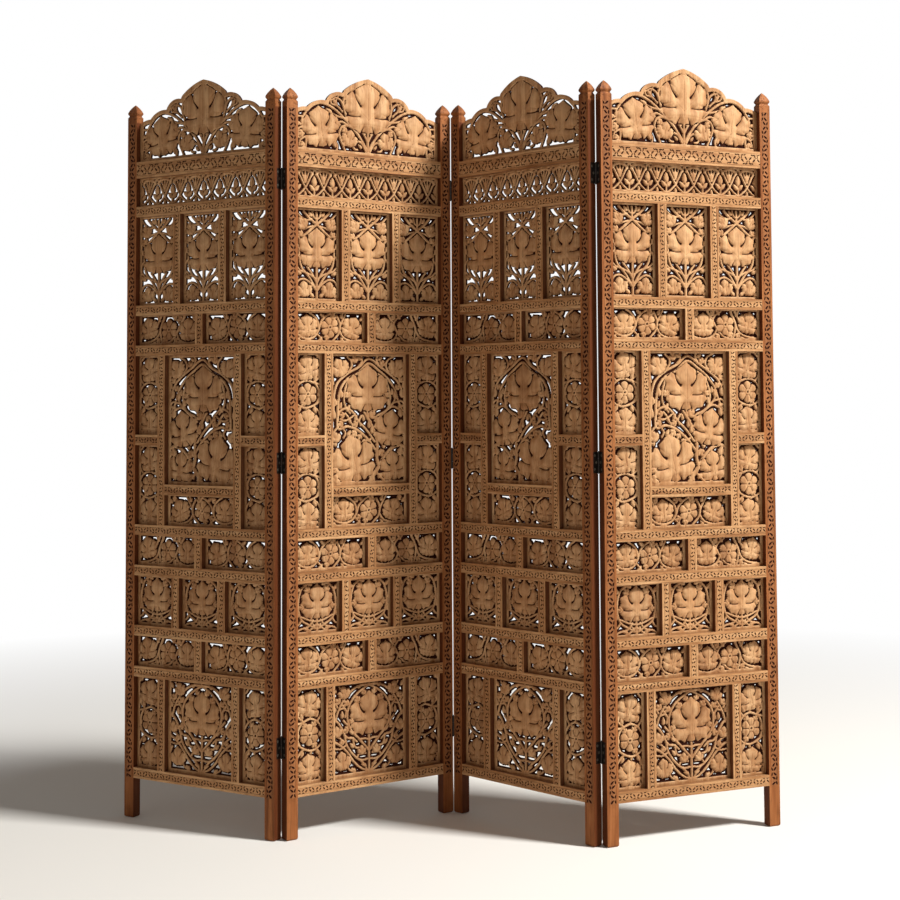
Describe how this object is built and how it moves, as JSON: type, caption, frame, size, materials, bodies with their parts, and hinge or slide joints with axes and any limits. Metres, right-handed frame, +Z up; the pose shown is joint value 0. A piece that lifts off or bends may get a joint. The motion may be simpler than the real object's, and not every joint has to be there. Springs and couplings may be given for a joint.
{
  "type": "folding screen",
  "caption": "Free-standing folding screen of hinged carved wooden leaves with pierced jali boards, spear finials and arched crests.",
  "frame": {"origin": "on the floor under the centre of the plan of the standing zigzag", "axes": "+Z up, +X along the screen to the right seen from its front, +Y from its front to its back"},
  "size_m": [1.612, 0.3708, 1.83],
  "materials": {
    "frame_wood": "satin",
    "board_wood": "satin",
    "hinge_iron": "matte",
    "screw_steel": "satin"
  },
  "bodies": {
    "leaf_1": {"leaf_1_left_post": "frame_wood", "leaf_1_right_post": "frame_wood", "leaf_1_rails": "frame_wood", "leaf_1_muntins": "frame_wood", "leaf_1_crest_board": "board_wood", "leaf_1_lattice_board": "board_wood", "leaf_1_tall_boards": "board_wood", "leaf_1_landscape_boards": "board_wood", "leaf_1_narrow_boards": "board_wood", "leaf_1_square_boards": "board_wood", "leaf_1_centre_boards": "board_wood", "fold_1_2_left_plates": "hinge_iron", "fold_1_2_left_screws": "screw_steel", "fold_1_2_pins": "hinge_iron"},
    "leaf_2": {"leaf_2_left_post": "frame_wood", "leaf_2_right_post": "frame_wood", "leaf_2_rails": "frame_wood", "leaf_2_muntins": "frame_wood", "leaf_2_crest_board": "board_wood", "leaf_2_lattice_board": "board_wood", "leaf_2_tall_boards": "board_wood", "leaf_2_landscape_boards": "board_wood", "leaf_2_narrow_boards": "board_wood", "leaf_2_square_boards": "board_wood", "leaf_2_centre_boards": "board_wood", "fold_1_2_right_plates": "hinge_iron", "fold_1_2_right_screws": "screw_steel", "fold_2_3_left_plates": "hinge_iron", "fold_2_3_left_screws": "screw_steel", "fold_2_3_pins": "hinge_iron"},
    "leaf_3": {"leaf_3_left_post": "frame_wood", "leaf_3_right_post": "frame_wood", "leaf_3_rails": "frame_wood", "leaf_3_muntins": "frame_wood", "leaf_3_crest_board": "board_wood", "leaf_3_lattice_board": "board_wood", "leaf_3_tall_boards": "board_wood", "leaf_3_landscape_boards": "board_wood", "leaf_3_narrow_boards": "board_wood", "leaf_3_square_boards": "board_wood", "leaf_3_centre_boards": "board_wood", "fold_2_3_right_plates": "hinge_iron", "fold_2_3_right_screws": "screw_steel", "fold_3_4_left_plates": "hinge_iron", "fold_3_4_left_screws": "screw_steel", "fold_3_4_pins": "hinge_iron"},
    "leaf_4": {"leaf_4_left_post": "frame_wood", "leaf_4_right_post": "frame_wood", "leaf_4_rails": "frame_wood", "leaf_4_muntins": "frame_wood", "leaf_4_crest_board": "board_wood", "leaf_4_lattice_board": "board_wood", "leaf_4_tall_boards": "board_wood", "leaf_4_landscape_boards": "board_wood", "leaf_4_narrow_boards": "board_wood", "leaf_4_square_boards": "board_wood", "leaf_4_centre_boards": "board_wood", "fold_3_4_right_plates": "hinge_iron", "fold_3_4_right_screws": "screw_steel"}
  },
  "joints": [
    {"name": "fold_1_2", "type": "hinge", "parent": "leaf_1", "child": "leaf_2", "pos_m": [-0.38863, -0.09054, 0.884], "axis": [0, 0, 1], "range_deg": [-67.5, 112.5]},
    {"name": "fold_2_3", "type": "hinge", "parent": "leaf_2", "child": "leaf_3", "pos_m": [0.0148, 0.16529, 0.884], "axis": [0, 0, 1], "range_deg": [-98, 82]},
    {"name": "fold_3_4", "type": "hinge", "parent": "leaf_3", "child": "leaf_4", "pos_m": [0.36201, -0.16281, 0.884], "axis": [0, 0, 1], "range_deg": [-71, 109]}
  ]
}
